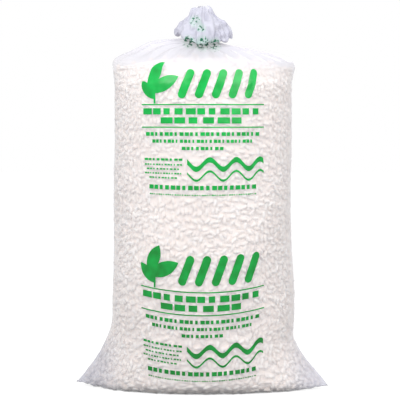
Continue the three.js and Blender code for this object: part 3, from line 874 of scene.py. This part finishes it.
def print_mask(tree):
    """1 where the film carries ink."""
    uv = add_node(tree, "ShaderNodeUVMap", uv_map="flat_film").outputs["UV"]
    flat = add_node(tree, "ShaderNodeSeparateXYZ", (uv,))
    across = flat.outputs["X"]
    up = add_node(
        tree, "ShaderNodeMath", (flat.outputs["Y"], PRINT_START), operation="SUBTRACT"
    ).outputs[0]
    up = add_node(tree, "ShaderNodeMath", (up, PRINT_PERIOD), operation="FLOORED_MODULO").outputs[0]
    place = add_node(tree, "ShaderNodeCombineXYZ", (across, up)).outputs[0]
    wide = PRINT_HALF_WIDTH
    shapes = [
        # Sprig of three leaves on a stem
        leaf(tree, place, (-0.205, 0.475), 1.15, 0.12, 0.052),
        leaf(tree, place, (-0.163, 0.438), 0.45, 0.14, 0.056),
        leaf(tree, place, (-0.232, 0.415), 2.3, 0.095, 0.042),
        bar(tree, across, up, (-0.2, 0.395), (0.004, 0.034)),
        # A row of fat slanted rods
        rod_row(tree, across, up, (0.068, 0.44), (0.17, 0.07), 0.068, 1.2, (0.045, 0.0165)),
        # Rules with two rows of blocks between them
        bar(tree, across, up, (0, 0.357), (wide, 0.0024)),
        dashes(tree, across, up, (0, 0.33), (0.95 * wide, 0.0125), 0.046, 0.72, 0.16),
        dashes(tree, across, up, (0, 0.294), (0.66 * wide, 0.0125), 0.058, 0.74, 0.14),
        bar(tree, across, up, (0, 0.267), (wide, 0.0024)),
        # Three rows of small dashes
        dashes(tree, across, up, (0, 0.24), (0.92 * wide, 0.0075), 0.021, 0.66, 0.2),
        dashes(tree, across, up, (0, 0.212), (0.8 * wide, 0.0065), 0.017, 0.64, 0.22),
        dashes(tree, across, up, (0, 0.184), (0.34 * wide, 0.0065), 0.019, 0.64, 0.2),
        # Wavy bands beside a column of fine rows
        wave_band(tree, across, up, (0.098, 0.122), (0.162, 0.05), 0.018, 0.108, 0.021),
        wave_band(tree, across, up, (0.098, 0.078), (0.162, 0.05), 0.018, 0.108, 0.009),
        dashes(tree, across, up, (-0.165, 0.14), (0.085, 0.0045), 0.019, 0.68, 0.2),
        dashes(tree, across, up, (-0.165, 0.12), (0.085, 0.0032), 0.013, 0.62, 0.2),
        dashes(tree, across, up, (-0.165, 0.103), (0.075, 0.0032), 0.015, 0.62, 0.2),
        dashes(tree, across, up, (-0.165, 0.086), (0.085, 0.0032), 0.012, 0.62, 0.2),
        dashes(tree, across, up, (-0.165, 0.069), (0.06, 0.0032), 0.014, 0.62, 0.2),
        dashes(tree, across, up, (0, 0.032), (0.85 * wide, 0.0085), 0.024, 0.7, 0.15),
        dashes(tree, across, up, (0, 0.004), (0.85 * wide, 0.0025), 0.01, 0.6, 0.2),
    ]
    total = shapes[0]
    for shape in shapes[1:]:
        total = add_node(tree, "ShaderNodeMath", (total, shape), operation="MAXIMUM").outputs[0]
    return total


def bunched_print(tree, place):
    """Where folds gather the print: how near a bunch is, from 1 in its middle to 0, on the front only."""
    axes = add_node(tree, "ShaderNodeSeparateXYZ", (place,))
    level = add_node(tree, "ShaderNodeCombineXYZ", (axes.outputs["X"], 0.0, axes.outputs["Z"])).outputs[0]
    total = 0.0
    for across, height, reach in PRINT_BUNCHES:
        apart = add_node(tree, "ShaderNodeVectorMath", (level, (across, 0, height)), operation="DISTANCE")
        share = add_node(
            tree,
            "ShaderNodeMapRange",
            {
                "Value": apart.outputs["Value"],
                "From Min": reach / 2,
                "From Max": reach,
                "To Min": 1.0,
                "To Max": 0.0,
            },
        ).outputs["Result"]
        total = add_node(tree, "ShaderNodeMath", (share, total), operation="MAXIMUM").outputs[0]
    front = add_node(tree, "ShaderNodeMath", (axes.outputs["Y"], 0.0), operation="LESS_THAN").outputs[0]
    return add_node(tree, "ShaderNodeMath", (total, front), operation="MULTIPLY").outputs[0]


# On a node that mixes colours: the sockets of its two colours, and of the mixed one
FIRST_COLOUR, SECOND_COLOUR, MIXED_COLOUR = 6, 7, 2


def clear_film():
    """Blown polythene film: clear, glossy, with a faint lavender haze, and printed in one green ink."""
    material, tree = new_material("clear_polythene_film")
    spare_film_and_shade = add_node(tree, "ShaderNodeAttribute", attribute_name="spare_film_and_shade").outputs["Fac"]
    place = add_node(tree, "ShaderNodeTexCoord").outputs["Object"]
    # In the bunches the print isn't read: only flecks of it show, in a pale green haze.
    bunch = bunched_print(tree, place)
    flakes = add_node(tree, "ShaderNodeTexNoise", {"Vector": place, "Scale": 1 / FLECK_SIZE, "Detail": 2.0})
    fleck = add_node(
        tree, "ShaderNodeMath", (bunch, FLECK_GAIN, flakes.outputs["Fac"]), operation="MULTIPLY_ADD"
    )
    levels = {"Value": fleck.outputs[0], "From Min": FLECK_LOW, "From Max": FLECK_HIGH}
    fleck = add_node(tree, "ShaderNodeMapRange", levels)
    fleck = add_node(tree, "ShaderNodeMath", (fleck.outputs["Result"], bunch), operation="MINIMUM")
    clouds = add_node(tree, "ShaderNodeTexNoise", {"Vector": place, "Scale": 1 / CLOUD_SIZE, "Detail": 2.0})
    tint = add_node(
        tree, "ShaderNodeMath", (bunch, HAZE_GAIN, clouds.outputs["Fac"]), operation="MULTIPLY_ADD"
    )
    levels = {"Value": tint.outputs[0], "From Min": HAZE_LOW, "From Max": HAZE_HIGH}
    tint = add_node(tree, "ShaderNodeMapRange", levels)
    plain = add_node(tree, "ShaderNodeMath", (spare_film_and_shade, PRINT_READ), operation="LESS_THAN").outputs[0]
    ink = add_node(tree, "ShaderNodeMath", (print_mask(tree), plain), operation="MULTIPLY").outputs[0]
    ink_or_fleck = add_node(tree, "ShaderNodeMath", (ink, fleck.outputs[0]), operation="MAXIMUM").outputs[0]
    # Film seen at a slant, or folded over itself, is milkier. Ink is opaque.
    slant = add_node(tree, "ShaderNodeLayerWeight", {"Blend": 0.3}).outputs["Facing"]
    square = add_node(
        tree, "ShaderNodeMath", (spare_film_and_shade, SPARE_ALPHA, PLAIN_ALPHA), operation="MULTIPLY_ADD"
    )
    haze = add_node(
        tree, "ShaderNodeMapRange", {"Value": slant, "To Min": square.outputs[0], "To Max": SLANT_ALPHA}
    )
    alpha = add_node(tree, "ShaderNodeMath", (haze.outputs["Result"], ink_or_fleck), operation="MAXIMUM")
    # The ink is laid on a little unevenly. Painted light makes it lighter higher up, and painted shade makes
    # it darker towards the foot.
    laid = add_node(tree, "ShaderNodeTexNoise", {"Vector": place, "Scale": 1 / INK_SIZE, "Detail": 1.0})
    height = add_node(tree, "ShaderNodeSeparateXYZ", (place,)).outputs["Z"]
    ink_painted_light_and_unevenness = add_node(
        tree, "ShaderNodeMath", (height, INK_PAINTED_LIGHT_RISE, laid.outputs["Fac"]), operation="MULTIPLY_ADD"
    )
    levels = {"Value": ink_painted_light_and_unevenness.outputs[0], "From Min": INK_LOW, "From Max": INK_HIGH}
    ink_painted_light_and_unevenness = add_node(tree, "ShaderNodeMapRange", levels)
    inks = {
        "Factor": ink_painted_light_and_unevenness.outputs["Result"],
        FIRST_COLOUR: linear("#007626"),
        SECOND_COLOUR: linear("#00b44c"),
    }
    green = add_node(tree, "ShaderNodeMix", inks, data_type="RGBA").outputs[MIXED_COLOUR]
    # Lavender bare film, then what lies over it: painted shade in grey-lavender over spare film, the bunched
    # print's haze and flecks, and the ink
    colour = linear("#f0eff5")
    over = (
        # The grey-lavender over spare film on the roof, ears and tuft is painted shade
        (spare_film_and_shade, linear("#c9c9d7")),
        (tint.outputs["Result"], linear("#bedbd0")),
        (fleck.outputs[0], linear("#17694a")),
        (ink, green),
    )
    for share, upper in over:
        mixed = {"Factor": share, FIRST_COLOUR: colour, SECOND_COLOUR: upper}
        colour = add_node(tree, "ShaderNodeMix", mixed, data_type="RGBA").outputs[MIXED_COLOUR]
    shader = add_node(
        tree,
        "ShaderNodeBsdfPrincipled",
        {
            "Base Color": colour,
            "Alpha": alpha.outputs[0],
            "Roughness": 0.3,
            "IOR": 1.51,
            "Specular IOR Level": 0.35,
        },
    )
    add_node(tree, "ShaderNodeOutputMaterial", {"Surface": shader.outputs[0]})
    return material


def natural_nylon():
    """Moulded nylon, uncoloured: a satin skin with a faint flow grain under 1 mm across."""
    material, tree = new_material("natural_nylon")
    place = add_node(tree, "ShaderNodeTexCoord").outputs["Object"]
    grain = add_node(tree, "ShaderNodeTexNoise", {"Vector": place, "Scale": 1 / NYLON_GRAIN, "Detail": 2.0})
    relief = {"Strength": 0.15, "Distance": NYLON_RELIEF, "Height": grain.outputs["Fac"]}
    bump = add_node(tree, "ShaderNodeBump", relief)
    shader = add_node(
        tree,
        "ShaderNodeBsdfPrincipled",
        {
            "Base Color": linear("#ecece2"),
            "Roughness": 0.4,
            "IOR": 1.53,
            "Normal": bump.outputs["Normal"],
        },
    )
    add_node(tree, "ShaderNodeOutputMaterial", {"Surface": shader.outputs[0]})
    return material


# Camera, floor and light

CAMERA_DISTANCE = 8.0
CAMERA_HEIGHT = 1.122
CAMERA_VIEW = 11.76
CAMERA_PITCH = 2.49
CAMERA_SIDE = -0.012
FLOOR_SIZE, FLOOR_GLOW = 60.0, 0.9
SKY_LIGHT, SKY_SEEN = 0.8, 1.0  # how bright the surround is as a light, and to the camera
LAMP_AIM = Vector((0, 0, 1.0))
# Each lamp: name, place, size in metres and watts
LAMPS = (
    ("key_left", (-1.9, -3.2, 3.05), 2.4, 122),
    ("fill_right", (2.5, -3.0, 2.85), 2.6, 94),
    ("rim_back", (0.9, 3.4, 2.4), 2.0, 48),
)

bpy.ops.object.camera_add(location=(CAMERA_SIDE, -CAMERA_DISTANCE, CAMERA_HEIGHT))
camera = bpy.context.object
camera.rotation_euler = (math.radians(90 - CAMERA_PITCH), 0, 0)
camera.data.angle = math.radians(CAMERA_VIEW)
bpy.context.scene.camera = camera


def pale_floor():
    """A plain pale floor, lifted to white for the camera and in reflections. Shadows stay on it."""
    material, tree = new_material("pale_floor")
    path = add_node(tree, "ShaderNodeLightPath")
    seen = add_node(
        tree,
        "ShaderNodeMath",
        (path.outputs["Is Camera Ray"], path.outputs["Is Glossy Ray"]),
        operation="MAXIMUM",
    )
    pale = add_node(tree, "ShaderNodeBsdfDiffuse", {"Color": linear("#747474")})
    white = add_node(tree, "ShaderNodeEmission", {"Strength": FLOOR_GLOW})
    both = add_node(tree, "ShaderNodeAddShader", (pale.outputs[0], white.outputs[0]))
    shader = add_node(tree, "ShaderNodeMixShader", (seen.outputs[0], pale.outputs[0], both.outputs[0]))
    add_node(tree, "ShaderNodeOutputMaterial", {"Surface": shader.outputs[0]})
    return material


def studio():
    """The floor, a white surround and three soft lamps."""
    bpy.ops.mesh.primitive_plane_add(size=FLOOR_SIZE, location=(0, 0, 0))
    floor = bpy.context.object
    floor.name = "floor"
    floor.data.materials.append(pale_floor())
    world = bpy.data.worlds.new("studio")
    world.use_nodes = True
    tree = world.node_tree
    tree.nodes.clear()
    path = add_node(tree, "ShaderNodeLightPath")
    strength = add_node(
        tree,
        "ShaderNodeMapRange",
        {"Value": path.outputs["Is Camera Ray"], "To Min": SKY_LIGHT, "To Max": SKY_SEEN},
    )
    sky = add_node(
        tree, "ShaderNodeBackground", {"Color": linear("#ffffff"), "Strength": strength.outputs["Result"]}
    )
    add_node(tree, "ShaderNodeOutputWorld", {"Surface": sky.outputs[0]})
    bpy.context.scene.world = world
    for name, place, size, watts in LAMPS:
        bpy.ops.object.light_add(type="AREA", location=place)
        lamp = bpy.context.object
        lamp.name = name
        lamp.data.size = size
        lamp.data.energy = watts
        aim = LAMP_AIM - Vector(place)
        lamp.rotation_euler = aim.to_track_quat("-Z", "Y").to_euler()


bpy.context.scene.view_settings.view_transform = "Standard"
studio()

# The pieces


def make_film(centres, frames):
    """The film with its folds, drawn in between the peanuts, but never so far that one shows through."""
    sink, room = draw_in(centres, frames)
    points = grid + smooth_normals * np.maximum(folds() - sink, -room)[:, :, None]
    points[0, :, 2] = points[1, :, 2]
    points[:, :, 2] = np.maximum(points[:, :, 2], 0)
    film = new_piece("film", points.reshape(-1, 3), faces_of_grid(len(grid)))
    flat_film_map(film)
    mark_spare_film_and_shade(film)
    close_seam(film)
    film.data.materials.append(clear_film())
    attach(film, "root")
    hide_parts("film_bag")


def make_peanuts(centres, frames, foam):
    """The single peanuts, in a few pieces from the floor up."""
    order = np.argsort(centres[:, 2])
    for k, share in enumerate(np.array_split(order, PEANUT_PIECES)):
        piece = peanut_piece("peanuts_%d" % (k + 1), centres[share], frames[share])
        piece.data.materials.append(foam)
        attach(piece, "root")
        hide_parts("loosefill_bed")


def make_heart(skin, foam):
    """The heart of the fill, seen only as the dim ground between the outer peanuts."""
    core_normals = normals_of(skin)
    core_normals[:2] = (0, 0, -1)
    core_normals[-2:] = (0, 0, 1)
    core_points = (skin - core_normals * HEART_DEPTH)[:, ::HEART_STEP]
    in_ear = np.maximum(0, np.abs(core_points[:, :, 0]) - BODY_WIDTH / 2)
    core_points[:, :, 0] -= np.sign(core_points[:, :, 0]) * HEART_EAR_SHRINK * in_ear
    faces = faces_of_grid(len(skin), COLUMNS // HEART_STEP)
    core = new_piece("fill_heart", core_points.reshape(-1, 3), faces)
    close_seam(core)
    core.data.materials.append(foam)
    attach(core, "root")
    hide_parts("loosefill_bed")


skin = fill_skin()
centres, axes, backs = fill_heap(skin)
frames = turned(axes, backs)
foam = starch_foam()
make_film(centres, frames)
make_peanuts(centres, frames, foam)
make_heart(skin, foam)

# The model's own loose peanuts and tie stay as they are, with a finish.
nylon = natural_nylon()
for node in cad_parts.values():
    if node.name.startswith("loose_peanut"):
        node.data.materials.clear()
        node.data.materials.append(foam)
    if node.name == "neck_tie":
        node.data.materials.clear()
        node.data.materials.append(nylon)
